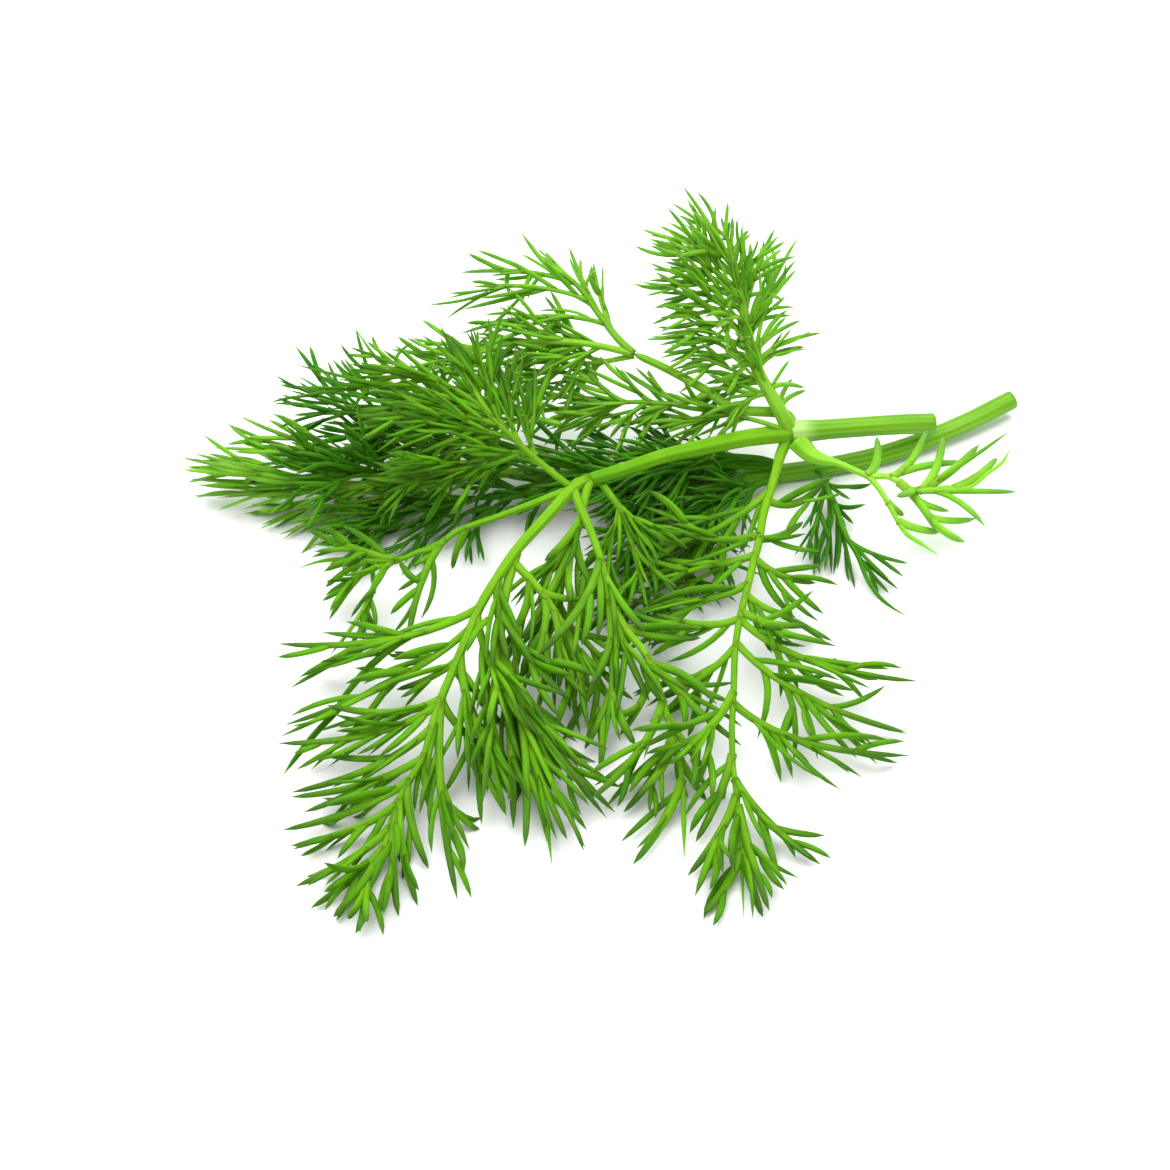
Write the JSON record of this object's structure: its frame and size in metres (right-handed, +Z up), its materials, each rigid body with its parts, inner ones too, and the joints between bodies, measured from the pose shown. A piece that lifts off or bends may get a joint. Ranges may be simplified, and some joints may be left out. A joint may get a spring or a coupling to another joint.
{
  "type": "dill bunch",
  "caption": "Small bunch of fresh dill lying on a table: cut green stems with feathery, finely divided fronds spread to the front, left, back and right.",
  "frame": {"origin": "on the table, at the middle of the flat spot under the long stem where the bunch rests", "axes": "+Z up from the table, +X from the bunch's left end to the stems' cut ends, -Y towards the tips of the front fronds"},
  "size_m": [0.1555, 0.147, 0.0454],
  "materials": {
    "stem": "satin",
    "leaf": "satin",
    "leaf_deep": "satin",
    "leaf_bright": "satin"
  },
  "bodies": {
    "root": {"stem_short": "stem", "stem_long": "stem", "frond_front_left": "leaf", "frond_front_right": "leaf", "frond_upright": "leaf", "frond_back_left": "leaf", "frond_right": "leaf_bright", "frond_right_low": "leaf_deep", "frond_left_end": "leaf_bright", "frond_left_back": "leaf_deep", "frond_left_low": "leaf_deep", "frond_middle": "leaf_deep", "frond_under": "leaf_deep"}
  },
  "joints": []
}
